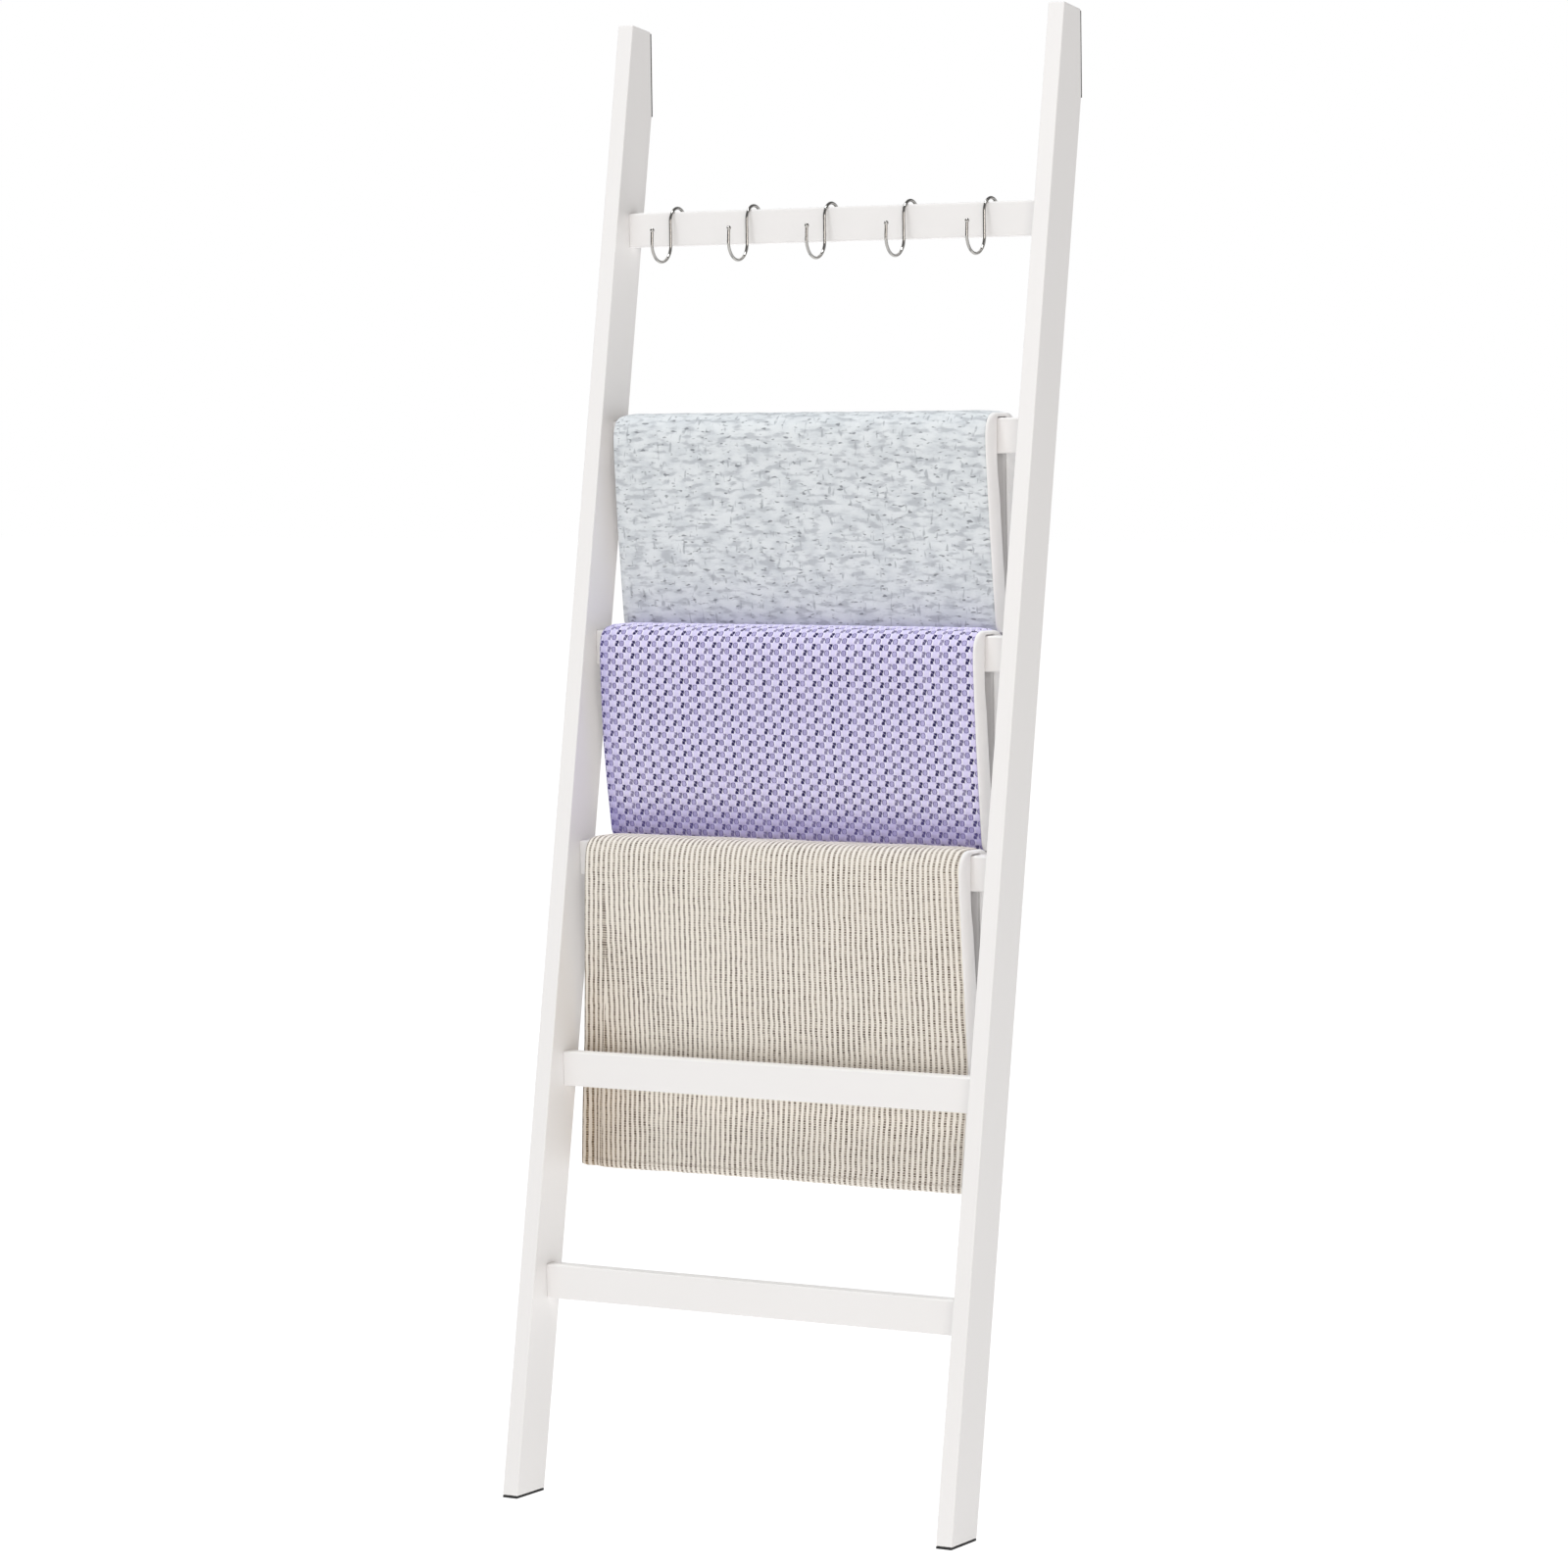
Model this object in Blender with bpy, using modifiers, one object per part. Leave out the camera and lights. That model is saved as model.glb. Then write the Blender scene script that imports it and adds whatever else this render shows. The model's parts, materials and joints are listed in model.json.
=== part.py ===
"""Blanket ladder that leans on a wall, with S-hooks on its top rung and quilts draped over three others.

Metres, +Z up. X runs along the rungs, +Y points back to the wall, and Z is 0 where the feet meet the floor.
"""

from math import acos, atan2, cos, hypot, pi, radians, sin, sqrt, tan

import bmesh
import bpy
from mathutils import Matrix

# --- driving dimensions -------------------------------------------------------

FIT_GAP = 0.0003          # between two pieces that touch

LEAN = radians(9.84)      # of the rails, from plumb
LADDER_WIDTH = 0.580      # over both rails
RAIL_LENGTH = 1.675       # along a rail's front edge
RAIL_WIDTH = 0.020
RAIL_DEPTH = 0.054        # square to the rail's length
RAIL_EDGE = 0.0012
WALL_CUT = 0.0366         # from a rail's top front edge back to its plumb wall face

FOOT_PAD = 0.0025         # thickness
WALL_PAD = 0.0025
PAD_INSET = 0.0006        # from a pad's edge to the edge of the wood that carries it
WALL_PAD_MARGIN = 0.002   # bare wood left above and below a wall pad

RUNG_COUNT = 6
RUNG_PITCH = 0.240        # along the rails
TOP_RUNG_AT = 1.461       # along a rail's front edge, to the top rung's front top edge
RUNG_SETBACK = 0.0224     # from a rail's front face, square to it
RUNG_HEIGHT = 0.039
RUNG_THICKNESS = 0.0192
RUNG_EDGE = 0.002

DOWEL_RADIUS = 0.004
DOWEL_SPACING = 0.018     # between the two dowels in a rung's end
DOWEL_IN_RAIL = 0.012
DOWEL_IN_RUNG = 0.018
DOWEL_SIDES = 12
BORE_RUN_OUT = 0.004      # that a bore's cutter stands out of the wood

HOOK_COUNT = 5
HOOK_PITCH = 0.1022
HOOK_ROW_SHIFT = -0.0056  # of the row's middle along X
HOOK_WIRE = 0.0015        # radius
HOOK_CURL = 0.0143        # inside radius of the curl over the rung
HOOK_CURL_TIP = radians(15)   # that the curl goes down behind the rung, past level
HOOK_BOWL = 0.01975       # radius of the lower bend, to the wire's middle
HOOK_DEPTH = 0.0588       # from the rung's top down to the underside of the bowl
HOOK_NOSE = 0.0145        # length of the straight front end
HOOK_NOSE_LEAN = radians(4)
HOOK_BALL = 0.0026        # radius of the ball on the front end
ARC_STEP = radians(15)
BALL_STEPS = 6

QUILT_WIDTH = 0.488
QUILT_THICKNESS = 0.026   # of the panels
QUILT_ON_RUNG = 0.008     # thickness where it is pressed on the rung
QUILT_SHOULDER = 0.028    # height of the rounded shoulder over each side of the rung
QUILT_CLOTH = 0.0025      # thickness of the face and of the backing
QUILT_BINDING = 0.003     # width of the strip that closes each side
QUILT_HEM = 0.010         # height over which a panel rounds to its lower edge
QUILT_HEM_EDGE = 0.35     # share of the thickness left at the lower edge
QUILT_LEAN = 0.017        # that a front panel falls back by, at its lower edge
BACK_DROP_SHORT = 0.280
BACK_DROP_LONG = 0.360
NEXT_QUILT_CLEARANCE = 0.0023  # height left between a short panel's hem and the quilt under it
LOWER_FRONT_DROP = 0.370
LOWER_LEAN_DONE = 0.230   # below the rung's top, where the long panel has fallen back and hangs plumb
PANEL_STEPS = 7
HEM_SHARES = (0.45, 0.8, 1)   # of the hem's height, where its rounding has points
SHOULDER_STEPS = 6

# --- sizes that follow --------------------------------------------------------

RAIL_FOOT_Z = FOOT_PAD + FIT_GAP
WALL_Y = RAIL_LENGTH * sin(LEAN) + WALL_CUT
DEPTH = WALL_Y + FIT_GAP + WALL_PAD
FRONT_Y = -DEPTH / 2      # of the feet, which puts the origin under the middle of the whole
INNER_HALF = LADDER_WIDTH / 2 - RAIL_WIDTH
RAIL_X = LADDER_WIDTH / 2 - RAIL_WIDTH / 2
RUNG_HALF = INNER_HALF - FIT_GAP
HOOK_RADIUS = HOOK_CURL + HOOK_WIRE
RUNG_DROP = RUNG_PITCH * cos(LEAN)

SIDES = (("left", -1), ("right", 1))


def on_rail(along, behind):
    """(y, z) of a point this far up a rail's front edge and this far behind its front face."""
    return (
        FRONT_Y + along * sin(LEAN) + behind * cos(LEAN),
        RAIL_FOOT_Z + along * cos(LEAN) - behind * sin(LEAN),
    )


def rung_edge(number):
    """(y, z) of the front top edge of a rung, counted from the top."""
    return on_rail(TOP_RUNG_AT - (number - 1) * RUNG_PITCH, RUNG_SETBACK)


# --- scene and materials ------------------------------------------------------

def clear_scene():
    for obj in list(bpy.data.objects):
        bpy.data.objects.remove(obj, do_unlink=True)


def new_collection(name):
    collection = bpy.data.collections.new(name)
    bpy.context.scene.collection.children.link(collection)
    return collection


def new_material(name, color, roughness, metallic=0.0):
    material = bpy.data.materials.new(name)
    material.use_nodes = True
    shader = material.node_tree.nodes["Principled BSDF"]
    shader.inputs["Base Color"].default_value = (*color, 1.0)
    shader.inputs["Roughness"].default_value = roughness
    shader.inputs["Metallic"].default_value = metallic
    return material


clear_scene()
PARTS = new_collection("quilt_ladder")
CUTTERS = new_collection("quilt_ladder_cutters")

WHITE_PAINT = new_material("white_paint", (0.87, 0.86, 0.86), 0.35)
BEECH = new_material("beech", (0.62, 0.45, 0.28), 0.6)
RUBBER = new_material("black_rubber", (0.02, 0.02, 0.02), 0.8)
STEEL = new_material("polished_steel", (0.70, 0.69, 0.67), 0.12, 1.0)
MELANGE = new_material("grey_melange_cloth", (0.66, 0.70, 0.72), 0.9)
WAFFLE = new_material("lavender_waffle_cloth", (0.55, 0.49, 0.80), 0.9)
LINEN = new_material("beige_open_weave", (0.70, 0.65, 0.56), 0.9)
WHITE_COTTON = new_material("white_cotton", (0.86, 0.85, 0.84), 0.85)
WADDING = new_material("wadding", (0.80, 0.79, 0.76), 1.0)


def add_object(name, data, material, collection=PARTS):
    obj = bpy.data.objects.new(name, data)
    collection.objects.link(obj)
    if material:
        data.materials.append(material)
    return obj


def cut(obj, cutter):
    """Takes the cutter out of the object."""
    cutter.hide_render = True
    cutter.display_type = "WIRE"
    modifier = obj.modifiers.new("bores", "BOOLEAN")
    modifier.operation = "DIFFERENCE"
    modifier.solver = "EXACT"
    modifier.object = cutter


def slab(name, outline, low_x, high_x, material):
    """A flat outline of (y, z) points, as thick as the stretch of X that it fills."""
    curve = bpy.data.curves.new(name, "CURVE")
    curve.dimensions = "2D"
    curve.fill_mode = "BOTH"
    curve.extrude = (high_x - low_x) / 2
    spline = curve.splines.new("POLY")
    spline.points.add(len(outline) - 1)
    for point, (y, z) in zip(spline.points, outline):
        point.co = (y, z, 0, 1)
    spline.use_cyclic_u = True
    obj = add_object(name, curve, material)
    obj.location.x = (low_x + high_x) / 2
    obj.rotation_euler = (pi / 2, 0, pi / 2)
    return obj


def as_mesh(obj):
    """The same object as a mesh with its caps welded on."""
    bpy.context.view_layer.update()
    graph = bpy.context.evaluated_depsgraph_get()
    mesh = bpy.data.meshes.new_from_object(obj.evaluated_get(graph))
    work = bmesh.new()
    work.from_mesh(mesh)
    bmesh.ops.remove_doubles(work, verts=work.verts, dist=0.00001)
    bmesh.ops.recalc_face_normals(work, faces=work.faces)
    work.to_mesh(mesh)
    work.free()
    name = obj.name
    matrix = obj.matrix_world.copy()
    bpy.data.objects.remove(obj, do_unlink=True)
    made = bpy.data.objects.new(name, mesh)
    PARTS.objects.link(made)
    made.matrix_world = matrix
    return made


def box(name, low, high, material, edge=0.0):
    """A box between two corners, with its edges along X rounded."""
    bpy.ops.mesh.primitive_cube_add(size=1, location=[(a + b) / 2 for a, b in zip(low, high)])
    obj = bpy.context.object
    obj.name = obj.data.name = name
    for collection in obj.users_collection:
        collection.objects.unlink(obj)
    PARTS.objects.link(obj)
    obj.data.transform(Matrix.Diagonal([*(b - a for a, b in zip(low, high)), 1]))
    obj.data.materials.append(material)
    if edge:
        work = bmesh.new()
        work.from_mesh(obj.data)
        along_x = [e for e in work.edges if abs(e.verts[0].co.x - e.verts[1].co.x) > edge]
        bmesh.ops.bevel(work, geom=along_x, offset=edge, segments=3, profile=0.5, affect="EDGES")
        work.to_mesh(obj.data)
        work.free()
    return obj


def add_cylinder(work, low_x, high_x, y, z, radius):
    """A closed cylinder along X in the bmesh."""
    place = Matrix.Translation(((low_x + high_x) / 2, y, z)) @ Matrix.Rotation(pi / 2, 4, "Y")
    bmesh.ops.create_cone(
        work, cap_ends=True, segments=DOWEL_SIDES, radius1=radius, radius2=radius,
        depth=high_x - low_x, matrix=place,
    )


def bore_cutter(name, bores):
    """One cutter for all of a piece's bores, each given as (low x, high x, y, z)."""
    work = bmesh.new()
    for low_x, high_x, y, z in bores:
        add_cylinder(work, low_x, high_x, y, z, DOWEL_RADIUS + FIT_GAP)
    mesh = bpy.data.meshes.new(name)
    work.to_mesh(mesh)
    work.free()
    return add_object(name, mesh, None, CUTTERS)


# --- ladder -------------------------------------------------------------------

def dowel_spots(number):
    """(y, z) of the two dowels in each end of a rung."""
    y, z = rung_edge(number)
    middle_y, middle_z = y + RUNG_THICKNESS / 2, z - RUNG_HEIGHT / 2
    return [(middle_y, middle_z + half * DOWEL_SPACING / 2) for half in (1, -1)]


ALL_DOWEL_SPOTS = [spot for n in range(1, RUNG_COUNT + 1) for spot in dowel_spots(n)]


def wall_face():
    """(lowest z, highest z) of a rail's plumb face against the wall."""
    along = (WALL_Y - RAIL_DEPTH * cos(LEAN)) / sin(LEAN)
    bottom = on_rail(along, RAIL_DEPTH)[1]
    top = on_rail(RAIL_LENGTH, WALL_CUT / cos(LEAN))[1]
    return bottom, top


def make_rail(side, sign):
    wall_low, wall_high = wall_face()
    outline = [
        (FRONT_Y, RAIL_FOOT_Z),
        (FRONT_Y + RAIL_DEPTH / cos(LEAN), RAIL_FOOT_Z),
        (FRONT_Y + WALL_Y, wall_low),
        (FRONT_Y + WALL_Y, wall_high),
        on_rail(RAIL_LENGTH, 0),
    ]
    middle = sign * RAIL_X
    name = f"rail_{side}"
    rail = as_mesh(slab(name, outline, middle - RAIL_WIDTH / 2, middle + RAIL_WIDTH / 2, WHITE_PAINT))
    bevel = rail.modifiers.new("edges", "BEVEL")
    bevel.width = RAIL_EDGE
    bevel.segments = 2
    bevel.limit_method = "ANGLE"
    inner, bottom = sign * (INNER_HALF - BORE_RUN_OUT), sign * (INNER_HALF + DOWEL_IN_RAIL + FIT_GAP)
    low, high = sorted((inner, bottom))
    cut(rail, bore_cutter(f"{name}_bores", [(low, high, y, z) for y, z in ALL_DOWEL_SPOTS]))


def make_pads(side, sign):
    middle, half = sign * RAIL_X, RAIL_WIDTH / 2 - PAD_INSET
    box(
        f"foot_pad_{side}",
        (middle - half, FRONT_Y, 0),
        (middle + half, FRONT_Y + RAIL_DEPTH / cos(LEAN) - PAD_INSET, FOOT_PAD),
        RUBBER,
    )
    wall_low, wall_high = wall_face()
    face = FRONT_Y + WALL_Y + FIT_GAP
    box(
        f"wall_pad_{side}",
        (middle - half, face, wall_low + WALL_PAD_MARGIN),
        (middle + half, face + WALL_PAD, wall_high - WALL_PAD_MARGIN),
        RUBBER,
    )


def make_rung(number):
    y, z = rung_edge(number)
    name = f"rung_{number}"
    rung = box(
        name,
        (-RUNG_HALF, y, z - RUNG_HEIGHT),
        (RUNG_HALF, y + RUNG_THICKNESS, z),
        WHITE_PAINT,
        RUNG_EDGE,
    )
    depth = RUNG_HALF - DOWEL_IN_RUNG - FIT_GAP
    ends = ((-RUNG_HALF - BORE_RUN_OUT, -depth), (depth, RUNG_HALF + BORE_RUN_OUT))
    bores = [(low, high, *spot) for low, high in ends for spot in dowel_spots(number)]
    cut(rung, bore_cutter(f"{name}_bores", bores))


def make_dowels(number):
    for side, sign in SIDES:
        low, high = sorted((sign * (RUNG_HALF - DOWEL_IN_RUNG), sign * (INNER_HALF + DOWEL_IN_RAIL)))
        for place, (y, z) in zip(("upper", "lower"), dowel_spots(number)):
            work = bmesh.new()
            add_cylinder(work, low, high, 0, 0, DOWEL_RADIUS)
            name = f"dowel_{number}_{side}_{place}"
            mesh = bpy.data.meshes.new(name)
            work.to_mesh(mesh)
            work.free()
            mesh.shade_smooth()
            mesh.set_sharp_from_angle(angle=radians(50))
            dowel = add_object(name, mesh, BEECH)
            dowel.location = (0, y, z)


# --- hooks --------------------------------------------------------------------

def arc(center, radius, start, end):
    """(y, z) points along an arc, both ends among them, with angles counted from +Y towards +Z."""
    steps = max(2, round(abs(end - start) / ARC_STEP))
    angles = [start + (end - start) * i / steps for i in range(steps + 1)]
    return [(center[0] + radius * cos(a), center[1] + radius * sin(a)) for a in angles]


def hook_pivot():
    """(y, z) of the curl's middle, from the rung's front top edge: it seats on both rounded top edges."""
    half = RUNG_THICKNESS / 2
    reach = HOOK_CURL - FIT_GAP - RUNG_EDGE
    return half, -RUNG_EDGE - sqrt(reach**2 - (half - RUNG_EDGE) ** 2)


def stem_lean():
    """The angle at which the stem hangs back so that it rests on the rung's lower front edge."""
    pivot_y, pivot_z = hook_pivot()
    forward, down = pivot_y - RUNG_EDGE, pivot_z + RUNG_HEIGHT - RUNG_EDGE
    reach = HOOK_RADIUS - RUNG_EDGE - FIT_GAP - HOOK_WIRE
    return atan2(down, forward) - acos(reach / hypot(forward, down))


def hook_route():
    """(y, z) points of the wire's middle about the pivot, from the tip behind the rung to the front end."""
    lean = stem_lean()
    points = arc((0, 0), HOOK_RADIUS, -HOOK_CURL_TIP, pi + lean)
    bowl_z = -HOOK_DEPTH + HOOK_WIRE + HOOK_BOWL - hook_pivot()[1]
    stem_z = bowl_z + HOOK_BOWL * sin(lean)
    start_y, start_z = points[-1]
    stem_y = start_y + (start_z - stem_z) * tan(lean)
    bowl = (stem_y - HOOK_BOWL * cos(lean), bowl_z)
    points += arc(bowl, HOOK_BOWL, lean, -pi - HOOK_NOSE_LEAN)
    nose_y, nose_z = points[-1]
    points.append((nose_y + HOOK_NOSE * sin(HOOK_NOSE_LEAN), nose_z + HOOK_NOSE * cos(HOOK_NOSE_LEAN)))
    return points


def hook_stations():
    """(y, z, radius) along the wire, whose front end swells into a ball and whose tip is rounded."""
    points = hook_route()
    (before_y, before_z), (end_y, end_z) = points[-2:]
    length = hypot(end_y - before_y, end_z - before_z)
    along_y, along_z = (end_y - before_y) / length, (end_z - before_z) / length
    stations = [(y, z, HOOK_WIRE) for y, z in points[:-1]]
    neck = acos(HOOK_WIRE / HOOK_BALL) + pi / 2
    for step in range(BALL_STEPS):
        angle = neck + (radians(12) - neck) * step / (BALL_STEPS - 1)
        ahead = HOOK_BALL * cos(angle)
        stations.append((end_y + along_y * ahead, end_z + along_z * ahead, HOOK_BALL * sin(angle)))
    tip_y, tip_z, _ = stations[0]
    rounded = [(tip_y, tip_z - HOOK_WIRE * cos(a), HOOK_WIRE * sin(a)) for a in (radians(20), radians(50))]
    return rounded + stations


def make_hook(number, x):
    name = f"hook_{number}"
    curve = bpy.data.curves.new(name, "CURVE")
    curve.dimensions = "3D"
    curve.bevel_depth = 1.0
    curve.bevel_resolution = 2
    curve.use_fill_caps = True
    stations = hook_stations()
    spline = curve.splines.new("POLY")
    spline.points.add(len(stations) - 1)
    for point, (y, z, radius) in zip(spline.points, stations):
        point.co = (0, y, z, 1)
        point.radius = radius
    spline.use_smooth = True
    hook = add_object(name, curve, STEEL)
    rung_y, rung_z = rung_edge(1)
    pivot_y, pivot_z = hook_pivot()
    hook.location = (x, rung_y + pivot_y, rung_z + pivot_z)


# --- quilts -------------------------------------------------------------------

def eased(share):
    share = min(max(share, 0.0), 1.0)
    return share * share * (3 - 2 * share)


def hem_inset(share):
    """How far each side of a panel has rounded in, this share of the way down its hem."""
    return QUILT_THICKNESS / 2 * (1 - QUILT_HEM_EDGE) * (1 - sqrt(1 - share * share))


def short_front_drop():
    """The longest front panel whose hem stays clear of the back shoulder of the quilt on the next rung."""
    bend_radius = RUNG_EDGE + FIT_GAP
    middle_y = -RUNG_PITCH * sin(LEAN) + RUNG_THICKNESS + FIT_GAP - bend_radius
    reach = QUILT_THICKNESS + bend_radius
    drops = []
    for share in HEM_SHARES:
        outer_y = QUILT_LEAN - FIT_GAP - QUILT_THICKNESS + hem_inset(share)
        across = min(max(outer_y - middle_y, 0.0) / reach, 1.0)
        shoulder_z = -RUNG_DROP + QUILT_ON_RUNG - QUILT_SHOULDER * (1 - sqrt(1 - across * across))
        drops.append(-shoulder_z - NEXT_QUILT_CLEARANCE + QUILT_HEM * (1 - share))
    return min(drops)


def drape(front_drop, lean_done, back_drop):
    """Pairs of (y, z) points, inner and outer, from the front lower edge over the rung to the back one.

    They are counted from the rung's front top edge.
    """
    below = QUILT_SHOULDER - QUILT_ON_RUNG
    front_in, back_in = -FIT_GAP, RUNG_THICKNESS + FIT_GAP

    def lean_at(z):
        return QUILT_LEAN * eased((-z - RUNG_HEIGHT) / (lean_done - RUNG_HEIGHT))

    def panel(drop, inner_y, outward, lean):
        """Pairs down one panel, from the shoulder to its lower edge."""
        hem_top = drop - QUILT_HEM
        depths = [below]
        depths += [RUNG_HEIGHT + (hem_top - RUNG_HEIGHT) * i / PANEL_STEPS for i in range(PANEL_STEPS + 1)]
        turns = [(depth, 0) for depth in depths]
        turns += [(hem_top + QUILT_HEM * share, share) for share in HEM_SHARES]
        pairs = []
        for depth, turn in turns:
            inset = hem_inset(turn)
            shift = lean(-depth)
            inner = (inner_y + shift + outward * inset, -depth)
            outer = (inner_y + shift + outward * (QUILT_THICKNESS - inset), -depth)
            pairs.append((inner, outer))
        return pairs

    def shoulder(inner_y, outward):
        """Pairs from a panel's top up to the flat on the rung.

        The inner side rises, and then rounds the rung's edge.
        """
        bend_radius = RUNG_EDGE + FIT_GAP
        flat_y = inner_y - outward * bend_radius
        pairs = []
        for i in range(1, SHOULDER_STEPS + 1):
            angle = pi / 2 * i / SHOULDER_STEPS
            outer = (
                flat_y + outward * (QUILT_THICKNESS + bend_radius) * cos(angle),
                -below + QUILT_SHOULDER * sin(angle),
            )
            half_way = 2 * i / SHOULDER_STEPS
            rise, bend = min(1.0, half_way), max(0.0, half_way - 1) * pi / 2
            inner = (
                flat_y + outward * bend_radius * cos(bend),
                -below + (below - RUNG_EDGE) * rise + bend_radius * sin(bend),
            )
            pairs.append((inner, outer))
        return pairs

    front = panel(front_drop, front_in, -1, lean_at)[::-1] + shoulder(front_in, -1)
    back = panel(back_drop, back_in, 1, lambda z: 0.0)[::-1] + shoulder(back_in, 1)
    return front + back[::-1]


def layer(pairs, start, stop):
    """The closed outline of the layer between two depths, each worked out from the quilt's thickness there.

    Depths are counted from the quilt's inner side.
    """

    def at(pair, depth):
        (inner_y, inner_z), (outer_y, outer_z) = pair
        thickness = hypot(outer_y - inner_y, outer_z - inner_z)
        share = depth(thickness) / thickness
        return inner_y + (outer_y - inner_y) * share, inner_z + (outer_z - inner_z) * share

    return [at(pair, start) for pair in pairs] + [at(pair, stop) for pair in reversed(pairs)]


def make_quilt(place, rung, middle_x, face_material, front_drop, lean_done, back_drop):
    rung_y, rung_z = rung_edge(rung)
    pairs = [
        tuple((rung_y + y, rung_z + z) for y, z in pair)
        for pair in drape(front_drop, lean_done, back_drop)
    ]
    low, high = middle_x - QUILT_WIDTH / 2, middle_x + QUILT_WIDTH / 2
    body = (low + QUILT_BINDING + FIT_GAP, high - QUILT_BINDING - FIT_GAP)
    name = f"{place}_quilt"
    backing = layer(pairs, lambda t: 0, lambda t: QUILT_CLOTH)
    wadding = layer(pairs, lambda t: QUILT_CLOTH + FIT_GAP, lambda t: t - QUILT_CLOTH - FIT_GAP)
    face = layer(pairs, lambda t: t - QUILT_CLOTH, lambda t: t)
    whole = layer(pairs, lambda t: 0, lambda t: t)
    slab(f"{name}_backing", backing, *body, WHITE_COTTON)
    slab(f"{name}_wadding", wadding, *body, WADDING)
    slab(f"{name}_face", face, *body, face_material)
    slab(f"{name}_binding_left", whole, low, low + QUILT_BINDING, WHITE_COTTON)
    slab(f"{name}_binding_right", whole, high - QUILT_BINDING, high, WHITE_COTTON)


def main():
    for side, sign in SIDES:
        make_rail(side, sign)
        make_pads(side, sign)
    for number in range(1, RUNG_COUNT + 1):
        make_rung(number)
        make_dowels(number)
    for index in range(HOOK_COUNT):
        make_hook(index + 1, HOOK_ROW_SHIFT + (index - (HOOK_COUNT - 1) / 2) * HOOK_PITCH)
    short_drop = short_front_drop()
    make_quilt("upper", 2, -0.0095, MELANGE, short_drop, short_drop, BACK_DROP_SHORT)
    make_quilt("middle", 3, -0.0050, WAFFLE, short_drop, short_drop, BACK_DROP_SHORT)
    make_quilt("lower", 4, -0.0030, LINEN, LOWER_FRONT_DROP, LOWER_LEAN_DONE, BACK_DROP_LONG)


main()
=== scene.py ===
import json
from math import acos, cos, pi, radians, sin

import bpy
import numpy as np
from mathutils import Matrix, Vector
from mathutils.kdtree import KDTree


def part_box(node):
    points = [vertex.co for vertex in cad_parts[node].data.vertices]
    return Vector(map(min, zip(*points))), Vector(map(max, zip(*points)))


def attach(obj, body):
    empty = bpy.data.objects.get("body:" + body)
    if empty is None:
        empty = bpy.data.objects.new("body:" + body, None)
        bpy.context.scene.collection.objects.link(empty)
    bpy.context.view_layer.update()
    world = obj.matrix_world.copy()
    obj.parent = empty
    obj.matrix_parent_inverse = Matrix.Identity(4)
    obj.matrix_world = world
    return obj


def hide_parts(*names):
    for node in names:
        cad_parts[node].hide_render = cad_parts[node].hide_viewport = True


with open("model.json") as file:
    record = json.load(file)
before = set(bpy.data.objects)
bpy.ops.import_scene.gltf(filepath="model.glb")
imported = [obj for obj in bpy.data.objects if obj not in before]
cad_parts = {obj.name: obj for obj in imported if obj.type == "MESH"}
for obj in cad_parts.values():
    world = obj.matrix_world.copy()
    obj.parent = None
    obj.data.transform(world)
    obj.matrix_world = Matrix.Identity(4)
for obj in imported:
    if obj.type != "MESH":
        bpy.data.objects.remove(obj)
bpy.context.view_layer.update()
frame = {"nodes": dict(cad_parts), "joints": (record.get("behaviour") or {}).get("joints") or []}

# --- quilts: sizes in metres --------------------------------------------------

THICKNESS = 0.026         # of a hanging panel
ON_RUNG = 0.008           # of the quilt where it is pressed on its rung
SHOULDER = 0.028          # height of the rounded shoulder over each side of the rung
LEAN_BACK = 0.017         # that a front panel falls back by
GAP = 0.0003              # between the backing and the rung
RUNG_ROUND = 0.002        # radius of the rung's edges
HEM = 0.010, 0.35         # height of a rounded hem, and its thickness at the end as a share of the panel's
FULL_SHOULDER = 0.75      # below 1 the front shoulder is squarer than an ellipse
CLOTH = 0.0012            # thickness of the face and of the backing
CLOTH_STEPS = 4           # points of a cover's outer side for each one of its inner side
COVER_IN = 0.0002, 0.0040 # from the quilt's left and right sides to its cover
BINDING = 0.003, 0.0038   # width of the strip along the left and right sides
BINDING_UNDER = 0.0031, 0.0010   # from the quilt's outside to that strip, on each side
GROOVE = 0.74             # where the sewn groove runs, as a share of the strip's depth
EDGE_DROOP = 0.0012       # that the outside drops by along its edges
SWELL_CAP = 0.003         # the most that the filling may swell
FILLING_DEPTH = 0.0048    # from the quilt's outside down to the filling before it swells
VOXEL = 0.006

WAFFLE_ACROSS, WAFFLE_DOWN = 0.0216, 0.0137
SLIT, BUNDLE, BLOCK = 0.12, 0.42, 0.80   # middles of a waffle cell's parts, as shares of its width
SLIT_SWING, SLIT_SLOPE = 0.030, 3.2      # how a slit sways, and how the yarn across it runs
CORD_PITCH, WEFT_PITCH = 0.00668, 0.00275


# --- shader nodes -------------------------------------------------------------

class Thread:
    """A node's output, which takes part in sums as a number does."""

    def __init__(self, nodes, socket):
        self.nodes, self.socket = nodes, socket

    def math(self, operation, *others):
        return self.nodes.node("Math", {"operation": operation}, [self, *others])

    def __add__(self, other):
        return self.math("ADD", other)

    __radd__ = __add__

    def __sub__(self, other):
        return self.math("SUBTRACT", other)

    def __rsub__(self, other):
        return self.nodes.node("Math", {"operation": "SUBTRACT"}, [other, self])

    def __mul__(self, other):
        return self.math("MULTIPLY", other)

    __rmul__ = __mul__

    def __truediv__(self, other):
        return self.math("DIVIDE", other)

    def __abs__(self):
        return self.math("ABSOLUTE")


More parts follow.
